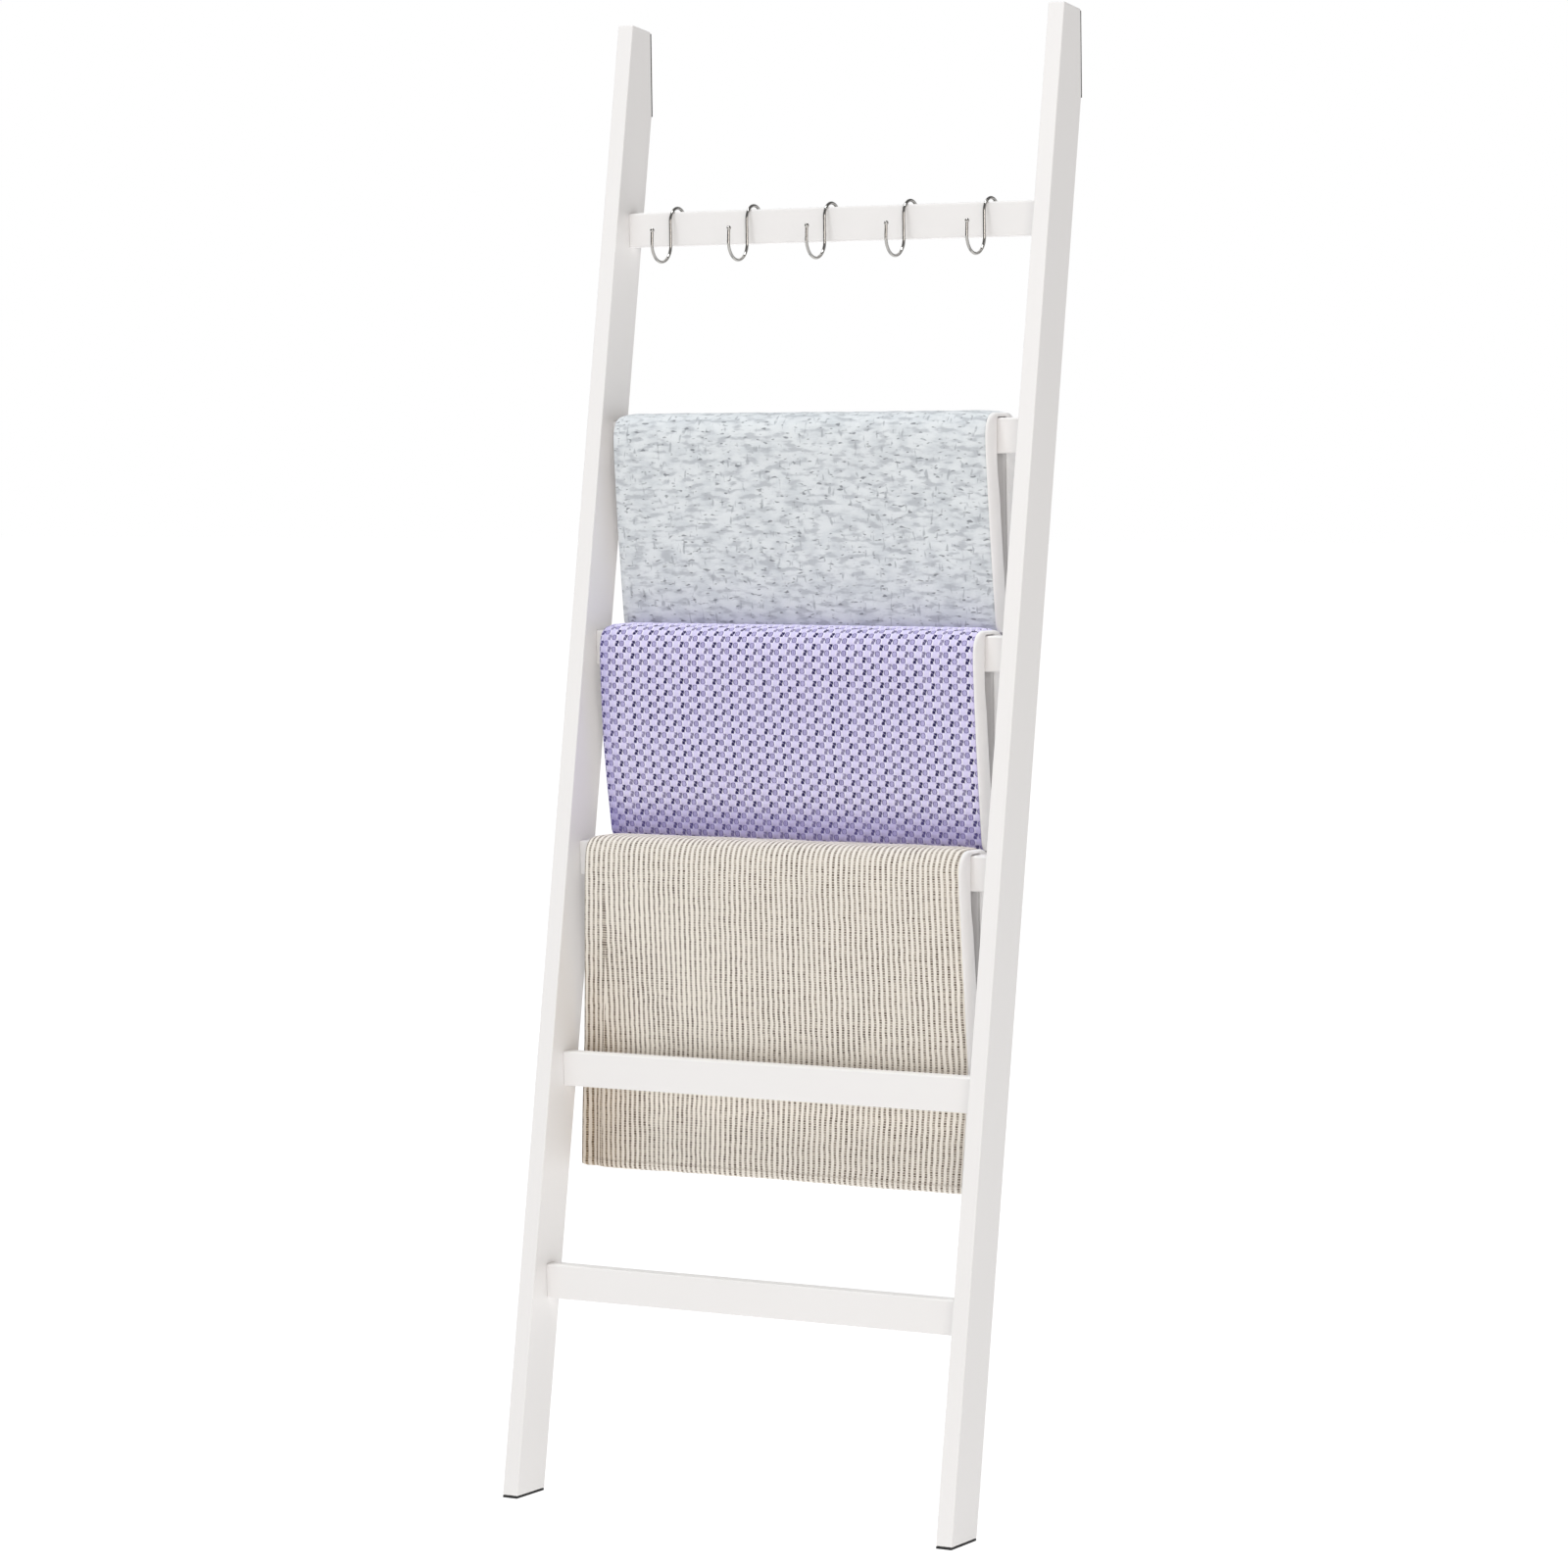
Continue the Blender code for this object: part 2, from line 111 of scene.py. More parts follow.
class Nodes:
    """A node tree of a material or of the world."""

    def __init__(self, owner):
        owner.use_nodes = True
        self.tree = owner.node_tree

    def feed(self, socket, value):
        if isinstance(value, Thread):
            self.tree.links.new(value.socket, socket)
        elif isinstance(value, tuple) and len(value) == 3 and socket.type == "RGBA":
            socket.default_value = (*value, 1.0)
        else:
            socket.default_value = value

    def node(self, kind, settings=None, inputs=(), output=0):
        """Adds a node: its settings come first, and then the values or links of its sockets."""
        made = self.tree.nodes.new("ShaderNode" + kind)
        for name, value in (settings or {}).items():
            setattr(made, name, value)
        for key, value in inputs.items() if isinstance(inputs, dict) else enumerate(inputs):
            self.feed(made.inputs[key], value)
        return Thread(self, made.outputs[output])


class Finish(Nodes):
    """A material, with its nodes."""

    def __init__(self, name, **sockets):
        self.material = bpy.data.materials.new(name)
        super().__init__(self.material)
        self.shader = self.tree.nodes["Principled BSDF"]
        for socket, value in sockets.items():
            self.put(socket.replace("_", " "), value)

    def put(self, socket, value):
        self.feed(self.shader.inputs[socket], value)

    def over(self, share, below, above):
        """Colour below where share is 0, and above where it is 1."""
        return self.node("Mix", {"data_type": "RGBA"}, {0: share, 6: below, 7: above}, 2)

    def step(self, value, low, high, start=0.0, end=1.0):
        """Smoothly from start to end as the value goes from low to high."""
        return self.node(
            "MapRange", {"interpolation_type": "SMOOTHSTEP"}, [value, low, high, start, end]
        )

    def noise(self, place, scale, detail=2.0, roughness=0.5):
        return self.node(
            "TexNoise", {}, {"Vector": place, "Scale": scale, "Detail": detail, "Roughness": roughness}
        )

    def stretched(self, place, across, down, along=1.0):
        return self.node(
            "Mapping", {"vector_type": "POINT"}, {"Vector": place, "Scale": (across, down, along)}
        )

    def cloth_place(self):
        """The cloth's own place in metres, and how far it is across and along."""
        place = self.node("UVMap", {"uv_map": "cloth"})
        across = self.node("SeparateXYZ", {}, [place])
        return place, across, Thread(self, across.socket.node.outputs["Y"])

    def object_place(self):
        return self.node("TexCoord", output="Object")

    def chance(self, column, row):
        """A random number for each cell of a weave."""
        cell = self.node("CombineXYZ", {}, [column, row, 0.5])
        return self.node("TexWhiteNoise", {"noise_dimensions": "3D"}, {"Vector": cell})

    def relief(self, *layers):
        """Bumps laid over each other, each a height, its depth in metres and its strength."""
        normal = None
        for height, depth, strength in layers:
            inputs = {"Height": height, "Distance": depth, "Strength": strength}
            if normal:
                inputs["Normal"] = normal
            normal = self.node("Bump", {}, inputs)
        self.put("Normal", normal)


def white_paint():
    finish = Finish("satin_white_paint", Specular_IOR_Level=0.45)
    place = finish.object_place()
    broad = finish.noise(place, 5.0, 3.0)
    brushed = finish.noise(finish.stretched(place, 260, 260, 14), 1.0, 3.0, 0.6)
    peel = finish.noise(place, 420.0, 2.0)
    finish.put("Base Color", finish.over(broad, (0.885, 0.868, 0.858), (0.915, 0.900, 0.892)))
    finish.put("Roughness", 0.33 + broad * 0.10 + brushed * 0.06)
    finish.relief((brushed, 0.00006, 0.35), (peel, 0.00004, 0.25))
    return finish.material


def beech():
    finish = Finish("beech", Roughness=0.6)
    place = finish.object_place()
    grain = finish.noise(finish.stretched(place, 60, 900, 900), 1.0, 4.0, 0.65)
    finish.put("Base Color", finish.over(grain, (0.42, 0.27, 0.14), (0.66, 0.48, 0.30)))
    finish.relief((grain, 0.0001, 0.3))
    return finish.material


def black_rubber():
    finish = Finish("black_rubber", Specular_IOR_Level=0.35)
    place = finish.object_place()
    grit = finish.noise(place, 1600.0, 2.0)
    dust = finish.noise(place, 60.0, 3.0)
    finish.put("Base Color", finish.over(dust, (0.018, 0.018, 0.019), (0.045, 0.044, 0.043)))
    finish.put("Roughness", 0.62 + grit * 0.2)
    finish.relief((grit, 0.0001, 0.5))
    return finish.material


def polished_steel():
    finish = Finish("polished_steel", Metallic=1.0)
    place = finish.object_place()
    smear = finish.noise(place, 130.0, 3.0)
    drawn = finish.noise(finish.stretched(place, 1800, 500, 500), 1.0, 2.0)
    finish.put("Base Color", finish.over(smear, (0.36, 0.35, 0.335), (0.50, 0.485, 0.465)))
    finish.put("Roughness", 0.10 + smear * 0.10)
    finish.relief((drawn, 0.00002, 0.15))
    return finish.material


def grey_melange():
    finish = Finish("grey_melange", Specular_IOR_Level=0.2, Sheen_Weight=0.25, Sheen_Roughness=0.6)
    place, _, _ = finish.cloth_place()
    mottle = finish.noise(finish.stretched(place, 36, 40), 1.0, 3.0, 0.55)
    flecks = finish.noise(finish.stretched(place, 52, 150), 1.0, 2.0, 0.5)
    slubs = finish.noise(finish.stretched(place, 62, 170), 1.7, 1.0, 0.4)
    upright = finish.noise(finish.stretched(place, 170, 62), 1.0, 1.0, 0.5)
    fuzz = finish.noise(finish.stretched(place, 700, 1100), 1.0, 3.0, 0.6)
    pale = finish.over(finish.step(mottle, 0.34, 0.62), (0.690, 0.728, 0.757), (0.805, 0.840, 0.862))
    shaded = finish.over(finish.step(flecks, 0.53, 0.34, 0.0, 0.70), pale, (0.430, 0.455, 0.490))
    marked = finish.over(finish.step(upright, 0.38, 0.27, 0.0, 0.70), shaded, (0.360, 0.385, 0.415))
    dark = finish.over(finish.step(slubs, 0.37, 0.27, 0.0, 0.9), marked, (0.185, 0.200, 0.220))
    light = finish.over(finish.step(flecks, 0.55, 0.72, 0.0, 0.6), dark, (0.82, 0.852, 0.87))
    finish.put("Base Color", finish.over(fuzz * 0.20, light, (0.55, 0.58, 0.61)))
    finish.put("Roughness", 0.86 + mottle * 0.1)
    finish.relief((flecks, 0.0010, 0.45), (fuzz, 0.0004, 0.55))
    return finish.material


def lavender_waffle():
    finish = Finish("lavender_waffle", Specular_IOR_Level=0.1, Sheen_Weight=0.08, Sheen_Roughness=0.5)
    place, across, along = finish.cloth_place()
    wander = finish.noise(place, 130.0, 2.0) - 0.5
    rows = along / (WAFFLE_DOWN / 2)
    row = rows.math("FLOOR")
    down = rows - row
    turned = row.math("FLOORED_MODULO", 2.0) * 0.5
    columns = across / WAFFLE_ACROSS + turned + wander * 0.05
    column = columns.math("FLOOR")
    over = columns - column
    chance = finish.chance(column, row)
    from_middle = abs(down - 0.5)

    swing = ((down - 0.5) * 6.283).math("SINE") * SLIT_SWING
    slit_side = abs((over - SLIT) - swing)
    slit = finish.step(slit_side, 0.100, 0.070) * finish.step(from_middle, 0.50, 0.42)
    crossed = finish.step(abs((down - 0.5) + (over - SLIT) * SLIT_SLOPE), 0.02, 0.12)
    slit = slit * (0.55 + crossed * 0.45) * (1.0 - turned * chance * 0.9)

    bundle_side = abs(over - BUNDLE)
    tall, wide = (down - 0.5) / 0.50, (over - BUNDLE) / 0.150
    oval = tall * tall + wide * wide
    bundle = finish.step(oval, 1.0, 0.78)
    plies = ((over - BUNDLE) * 66.0).math("COSINE") * 0.5 + 0.5
    ring = finish.step(oval, 0.42, 0.70) * finish.step(oval, 1.15, 0.95)
    outline = ring * finish.step(from_middle, 0.46, 0.34)
    glint = finish.step(bundle_side, 0.150, 0.175) * finish.step(bundle_side, 0.250, 0.215)
    painted_ridge_highlight = finish.step(abs(over - 0.985), 0.045, 0.015) * finish.step(from_middle, 0.40, 0.25)
    painted_row_shade = finish.step(from_middle, 0.41, 0.50)

    yarn = finish.noise(finish.stretched(place, 700, 1500), 1.0, 2.0)
    broad = finish.noise(place, 9.0, 2.0)
    block = finish.over(yarn, (0.62, 0.57, 0.90), (0.85, 0.805, 1.0))
    # Painted shade: a darker line between the rows of blocks.
    block = finish.over(painted_row_shade * 0.25, block, (0.36, 0.315, 0.62))
    ply = finish.over(plies * (0.15 + chance * 0.70), (0.53, 0.49, 0.80), (0.13, 0.105, 0.30))
    color = finish.over(bundle * 0.90, block, ply)
    # Painted shade: a dark ring round each raised bundle, where it meets the cloth around it.
    color = finish.over(outline * 0.85, color, (0.060, 0.043, 0.20))
    # Painted highlight: thin near-white lines beside each bundle and at each block's right edge.
    color = finish.over((glint + painted_ridge_highlight) * (1.0 - slit) * 0.70, color, (0.97, 0.95, 1.0))
    # Painted shade: the open slits are painted near black, where shade falls into them.
    color = finish.over(slit, color, (0.010, 0.006, 0.085))
    color = finish.over(broad * 0.12, color, (0.62, 0.58, 0.80))
    # Painted shade: darker towards the front hem and along the left side, where the panel lies in shade.
    shaded = finish.step(along, 0.066, 0.028) * 0.42 + finish.step(across, 0.026, 0.0) * 0.30
    color = finish.over(shaded, color, (0.25, 0.215, 0.56))
    finish.put("Base Color", color)
    finish.put("Roughness", 0.82 + yarn * 0.12)
    height = 0.5 - slit * 0.5 - bundle * plies * 0.22
    finish.relief((height, 0.0022, 0.75), (yarn, 0.0005, 0.6))
    return finish.material


def beige_open_weave():
    finish = Finish("beige_open_weave", Specular_IOR_Level=0.2, Sheen_Weight=0.15, Sheen_Roughness=0.5)
    place, across, along = finish.cloth_place()
    wander = finish.noise(finish.stretched(place, 30, 60), 1.0, 3.0) - 0.5
    low = finish.step(along, 0.40, 0.02)
    slant = finish.step(across, 0.026, 0.030) * finish.step(across, 0.20, 0.03) * low * 0.016
    columns = (across - slant) / CORD_PITCH + wander * 0.42
    column = columns.math("ROUND")
    side = abs(columns - column)
    wefts = along / WEFT_PITCH + wander * 0.5
    weft = wefts.math("FLOOR")
    down = wefts - weft
    chance = finish.chance(column, weft)
    openness = finish.noise(finish.stretched(place, 42, 16), 1.0, 2.0)
    # Painted shade of the soft fold at the lower left: darker cords and channels, and more dark holes.
    painted_fold_shade = finish.step(across, 0.100, 0.012) * finish.step(along, 0.34, 0.05)

    channel = finish.step(side, 0.27, 0.16)
    hole = channel * finish.step(abs(down - 0.5), 0.40, 0.27)
    bands = finish.noise(finish.stretched(place, 34, 190), 1.0, 2.0)
    band = finish.step(bands, 0.34, 0.56, 0.62, 1.0)
    clear = finish.step(openness + painted_fold_shade * 0.8 + low * 0.12, 0.25, 0.60, 0.70, 1.0)
    dark = hole * clear * (0.55 + chance * 0.45) * band
    twist = (side * 9.0 + along * 1900.0).math("SINE") * 0.5 + 0.5
    fibres = finish.noise(finish.stretched(place, 1500, 900), 1.0, 2.0)

    cord = finish.over(fibres, (0.87, 0.80, 0.705), (0.975, 0.94, 0.88))
    cord = finish.over(twist * 0.12, cord, (0.70, 0.63, 0.54))
    cord = finish.over(painted_fold_shade * 0.50, cord, (0.54, 0.43, 0.33))
    # Painted shade: the channels between the cords are painted brown.
    color = finish.over(channel * (0.27 + painted_fold_shade * 0.6), cord, (0.52, 0.40, 0.27))
    # Painted shade: the open holes between the cords are painted near black.
    color = finish.over(dark, color, (0.060, 0.032, 0.014))
    # Painted shade: a thin dark line above the hem, where the hem's fold sits.
    painted_hem_fold_shade = finish.step(abs(along - 0.030), 0.0012, 0.0004)
    color = finish.over(painted_hem_fold_shade * 0.25, color, (0.30, 0.24, 0.18))
    finish.put("Base Color", color)
    finish.put("Roughness", 0.84 + fibres * 0.12)
    height = 0.6 - channel * 0.08 - hole * 0.6 + twist * 0.06
    finish.relief((height, 0.0014, 0.75), (fibres, 0.0003, 0.5))
    return finish.material


def cotton(name, shaded, pale):
    finish = Finish(name, Specular_IOR_Level=0.25, Sheen_Weight=0.15, Sheen_Roughness=0.5)
    place, across, along = finish.cloth_place()
    weave = (across * 4800.0).math("SINE") * (along * 4800.0).math("SINE") * 0.5 + 0.5
    creased = finish.noise(finish.stretched(place, 60, 9), 1.0, 3.0)
    # The colour is darker along the long creases: painted shade in the creases.
    finish.put("Base Color", finish.over(creased, shaded, pale))
    finish.put("Roughness", 0.80 + weave * 0.12)
    finish.relief((creased, 0.0012, 0.35), (weave, 0.0003, 0.35))
    return finish.material


def wadding():
    finish = Finish("wadding", Roughness=1.0, Specular_IOR_Level=0.1, Sheen_Weight=0.3)
    place = finish.object_place()
    fibre = finish.noise(finish.stretched(place, 160, 420, 420), 1.0, 5.0, 0.65)
    finish.put("Base Color", finish.over(fibre, (0.70, 0.69, 0.66), (0.86, 0.855, 0.835)))
    finish.relief((fibre, 0.0015, 0.6))
    return finish.material


def pale_floor():
    finish = Finish("pale_floor", Roughness=0.9, Specular_IOR_Level=0.1)
    place = finish.object_place()
    cloudy = finish.noise(place, 1.5, 3.0)
    finish.put("Base Color", finish.over(cloudy, (0.24, 0.24, 0.24), (0.27, 0.27, 0.27)))
    finish.put("Emission Color", (1.0, 1.0, 1.0))
    finish.put("Emission Strength", 0.97)
    return finish.material


# --- meshes -------------------------------------------------------------------

def mesh_object(name, points, faces, uvs=None, material=None):
    """An object from points and faces; uvs gives each point's place on its cloth, in metres."""
    mesh = bpy.data.meshes.new(name)
    mesh.from_pydata(np.asarray(points).tolist(), [], faces)
    if uvs is not None:
        layer = mesh.uv_layers.new(name="cloth")
        corners = np.empty(len(mesh.loops), np.int32)
        mesh.loops.foreach_get("vertex_index", corners)
        layer.data.foreach_set("uv", np.asarray(uvs, np.float32)[corners].ravel())
    mesh.polygons.foreach_set("use_smooth", np.ones(len(mesh.polygons), bool))
    obj = bpy.data.objects.new(name, mesh)
    bpy.context.scene.collection.objects.link(obj)
    if material:
        mesh.materials.append(material)
    mesh.validate()
    mesh.update()
    return obj


def grid_normals(points):
    """Unit normals of a grid of points, outward where its columns run to +X on the front."""
    down = np.gradient(points, axis=0)
    over = np.gradient(points, axis=1)
    normal = np.cross(over, down)
    return normal / np.linalg.norm(normal, axis=2, keepdims=True)


def shell(name, outer, thickness, coarse, uvs, material):
    """A closed sheet: a fine outer grid, a coarse inner one, and an edge that joins them all round."""
    normals = grid_normals(outer)
    rows, columns = outer.shape[0] - 1, outer.shape[1] - 1
    inner = (outer - normals * thickness)[::coarse, ::coarse]
    in_rows, in_columns = inner.shape[0] - 1, inner.shape[1] - 1

    def at(j, i):
        return j * (columns + 1) + i

    base = (rows + 1) * (columns + 1)

    def under(j, i):
        return base + j * (in_columns + 1) + i

    faces = [
        (at(j, i), at(j, i + 1), at(j + 1, i + 1), at(j + 1, i))
        for j in range(rows)
        for i in range(columns)
    ]
    faces += [
        (under(j, i), under(j + 1, i), under(j + 1, i + 1), under(j, i + 1))
        for j in range(in_rows)
        for i in range(in_columns)
    ]
    for i in range(in_columns):
        fine = range(i * coarse, (i + 1) * coarse + 1)
        faces.append((*[at(0, k) for k in reversed(fine)], under(0, i), under(0, i + 1)))
        faces.append((*[at(rows, k) for k in fine], under(in_rows, i + 1), under(in_rows, i)))
    for j in range(in_rows):
        fine = range(j * coarse, (j + 1) * coarse + 1)
        faces.append((*[at(k, 0) for k in fine], under(j + 1, 0), under(j, 0)))
        last = under(j, in_columns), under(j + 1, in_columns)
        faces.append((*[at(k, columns) for k in reversed(fine)], *last))
    points = np.concatenate([outer.reshape(-1, 3), inner.reshape(-1, 3)])
    places = np.concatenate([uvs.reshape(-1, 2), uvs[::coarse, ::coarse].reshape(-1, 2)])
    return mesh_object(name, points, faces, places, material)


def smooth(share):
    """0 below 0, 1 above 1, and an even S between them."""
    share = np.clip(share, 0.0, 1.0)
    return share * share * (3 - 2 * share)


def ripple(across, along, size, seed):
    """Gentle waves in all directions, of about this size, between -1 and 1."""
    chance = np.random.RandomState(seed)
    total = np.zeros(np.broadcast(across, along).shape)
    for _ in range(9):
        angle, phase = chance.uniform(0, 2 * pi, 2)
        wave = 2 * pi / (size * chance.uniform(0.7, 1.6))
        total += np.sin(wave * (across * cos(angle) + along * sin(angle)) + phase)
    return total / 4.5


# --- how a quilt hangs --------------------------------------------------------

def hang(front_drop, back_drop, lean_done, rung_height, rung_thickness, hem):
    """Outer and inner lines (y, z) from the front hem over the rung to the back hem.

    They are counted from the rung's front top edge, and point k of one line faces point k of the other.
    """
    hem_height, hem_edge = hem
    below = SHOULDER - ON_RUNG
    bend = RUNG_ROUND + GAP

    def panel(drop, inner_y, outward, lean):
        hem_top = drop - hem_height
        depths = [(d, 0.0) for d in np.linspace(below, hem_top, int((hem_top - below) / 0.003))]
        depths += [(hem_top + hem_height * sin(t), t) for t in np.linspace(0, pi / 2, 9)[1:]]
        pairs = []
        for depth, turn in depths:
            inset = THICKNESS / 2 * (1 - hem_edge) * (1 - cos(turn))
            back = lean * min(1.0, (depth - below) / (lean_done - below))
            past_rung = float(smooth((depth - rung_height) / 0.05))
            pairs.append((
                (inner_y + back + outward * (THICKNESS - inset), -depth),
                (inner_y + back * past_rung + outward * inset, -depth),
            ))
        return pairs

    def shoulder(inner_y, outward):
        flat_y = inner_y - outward * bend
        pairs = []
        for share in np.linspace(0, 1, 19)[1:]:
            angle = share * pi / 2
            rise, turn = min(1.0, 2 * share), max(0.0, 2 * share - 1) * pi / 2
            fullness = FULL_SHOULDER if outward < 0 else 1.0
            reach, climb = abs(cos(angle)) ** fullness, sin(angle) ** fullness
            pairs.append((
                (flat_y + outward * (THICKNESS + bend) * reach, -below + SHOULDER * climb),
                (
                    flat_y + outward * bend * cos(turn),
                    -below + (below - RUNG_ROUND) * rise + bend * sin(turn),
                ),
            ))
        return pairs

    front_in, back_in = -GAP, rung_thickness + GAP
    front = panel(front_drop, front_in, -1, LEAN_BACK)[::-1] + shoulder(front_in, -1)
    back = panel(back_drop, back_in, 1, 0.0)[::-1] + shoulder(back_in, 1)
    flat = np.linspace(0, 1, 6)[1:-1, None]
    ends = np.array(front[-1]), np.array(back[-1])
    middle = [tuple(map(tuple, ends[0] * (1 - s) + ends[1] * s)) for s in flat]
    pairs = np.array(front + middle + back[::-1])
    return pairs[:, 0], pairs[:, 1]


def along_line(line):
    """How far along a (y, z) line each of its points is."""
    steps = np.hypot(*np.diff(line, axis=0).T)
    return np.concatenate([[0.0], np.cumsum(steps)])


def resampled(line, count):
    """Even distances along a (y, z) line, and the points at them."""
    length = along_line(line)
    even = np.linspace(0, length[-1], count)
    points = np.stack([np.interp(even, length, line[:, k]) for k in (0, 1)], axis=1)
    return even, points


class Hanging:
    """One quilt: where it hangs, how far it reaches, and how its edges stray."""

    def __init__(self, place, rung, front_drop, back_drop, lean_done, left, right, fold, hem=HEM):
        low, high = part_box(f"rung_{rung}")
        self.place, self.rung = place, f"rung_{rung}"
        self.edge_y, self.rung_back, self.edge_z = low[1], high[1], high[2]
        self.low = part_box(f"{place}_quilt_binding_left")[0][0]
        self.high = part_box(f"{place}_quilt_binding_right")[1][0]
        self.left, self.right, self.fold = np.array(left), np.array(right), fold
        outer, inner = hang(front_drop, back_drop, lean_done, high[2] - low[2], high[1] - low[1], hem)
        corner = np.array([self.edge_y, self.edge_z])
        self.outer, self.inner = outer + corner, inner + corner
        self.swelling = None

    def stray(self, points):
        """Shifts points sideways as the real edges hang, and lets the front panel fold."""
        x, y, z = points[..., 0], points[..., 1], points[..., 2]
        depth = self.edge_z - z
        front = 1 - smooth((y - self.edge_y) / (self.rung_back - self.edge_y))
        left = np.interp(depth, self.left[:, 0], self.left[:, 1])
        right = np.interp(depth, self.right[:, 0], self.right[:, 1])
        share = (x - self.low) / (self.high - self.low)
        shift = (left * (1 - share) + right * share) * (0.25 + 0.75 * front)
        push = self.fold(x, depth) * front if self.fold else 0.0
        return np.stack([x + shift, y + push, z], axis=-1)

    def swell_at(self, points):
        """How far the filling swells next to each point."""
        if self.swelling is None:
            return np.full(points.shape[:-1], SWELL_CAP * 0.8)
        tree, swells = self.swelling
        flat = points.reshape(-1, 3)
        found = np.empty(len(flat))
        for k, point in enumerate(flat):
            near = tree.find_n(point, 4)
            weights = np.array([1 / (distance + 1e-4) for _, _, distance in near])
            found[k] = np.dot(weights, swells[[index for _, index, _ in near]]) / weights.sum()
        return found.reshape(points.shape[:-1])

    def over_top(self, line):
        """1 where the quilt lies over its rung, and 0 down its panels."""
        return 1 - smooth((self.edge_z - line[:, 1] - 0.004) / 0.035)

    def side(self, line, columns, count, outward, edge_in, relief=None, hold=None):
        """A grid of points over one side of the quilt, swollen by its filling and rounded to its edges."""
        even, points = resampled(line, count)
        low, high = self.low + edge_in[0], self.high - edge_in[1]
        x = np.linspace(low, high, columns)
        grid = np.empty((count, columns, 3))
        grid[..., 0] = x[None, :]
        grid[..., 1:] = points[:, None, :]
        normals = grid_normals(grid) * outward
        from_edge = np.minimum(x - low, high - x)[None, :]
        rows, cells = max(8, count // 6), 60
        every_row = np.linspace(0, count - 1, rows).round().astype(int)
        every_cell = np.linspace(0, columns - 1, cells).round().astype(int)
        coarse = self.swell_at(grid[np.ix_(every_row, every_cell)])
        swell = np.stack([np.interp(np.arange(columns), every_cell, row) for row in coarse])
        swell = np.stack([np.interp(np.arange(count), every_row, column) for column in swell.T], axis=1)
        for _ in range(12):
            swell[1:-1] = (swell[:-2] + swell[2:] + 2 * swell[1:-1]) / 4
            swell[:, 1:-1] = (swell[:, :-2] + swell[:, 2:] + 2 * swell[:, 1:-1]) / 4
        top = self.over_top(points)[:, None]
        move = swell * 0.6 * smooth(from_edge / 0.025) * (1 - 0.6 * top)
        move = move - EDGE_DROOP * (1 - smooth(from_edge / 0.007))
        if outward > 0:
            move = move - EDGE_DROOP * top * (1 - smooth(from_edge / 0.022))
        across, along = np.meshgrid(x - low, even)
        if relief is not None:
            ends = smooth(np.minimum(even, even[-1] - even) / 0.004)[:, None] * smooth(from_edge / 0.003)
            move = move + relief(across, along) * (0.25 + 0.75 * ends)
        if hold is not None:
            move = move * hold(points)[:, None]
        grid = grid + normals * move[..., None]
        return self.stray(grid), np.stack([across, along], axis=-1), even[-1]


def hem_wrapped(outer, inner):
    """The outer line, taken round both hems until it meets the inner one."""

    def across(start, end):
        shares = np.linspace(0, 1, 6)
        return [start * (1 - s) + end * s + np.array([0.0, -CLOTH * sin(pi * s)]) for s in shares]

    first = across(inner[0], outer[0])[:-1]
    last = across(outer[-1], inner[-1])[1:]
    return np.array([*first, *outer, *last])


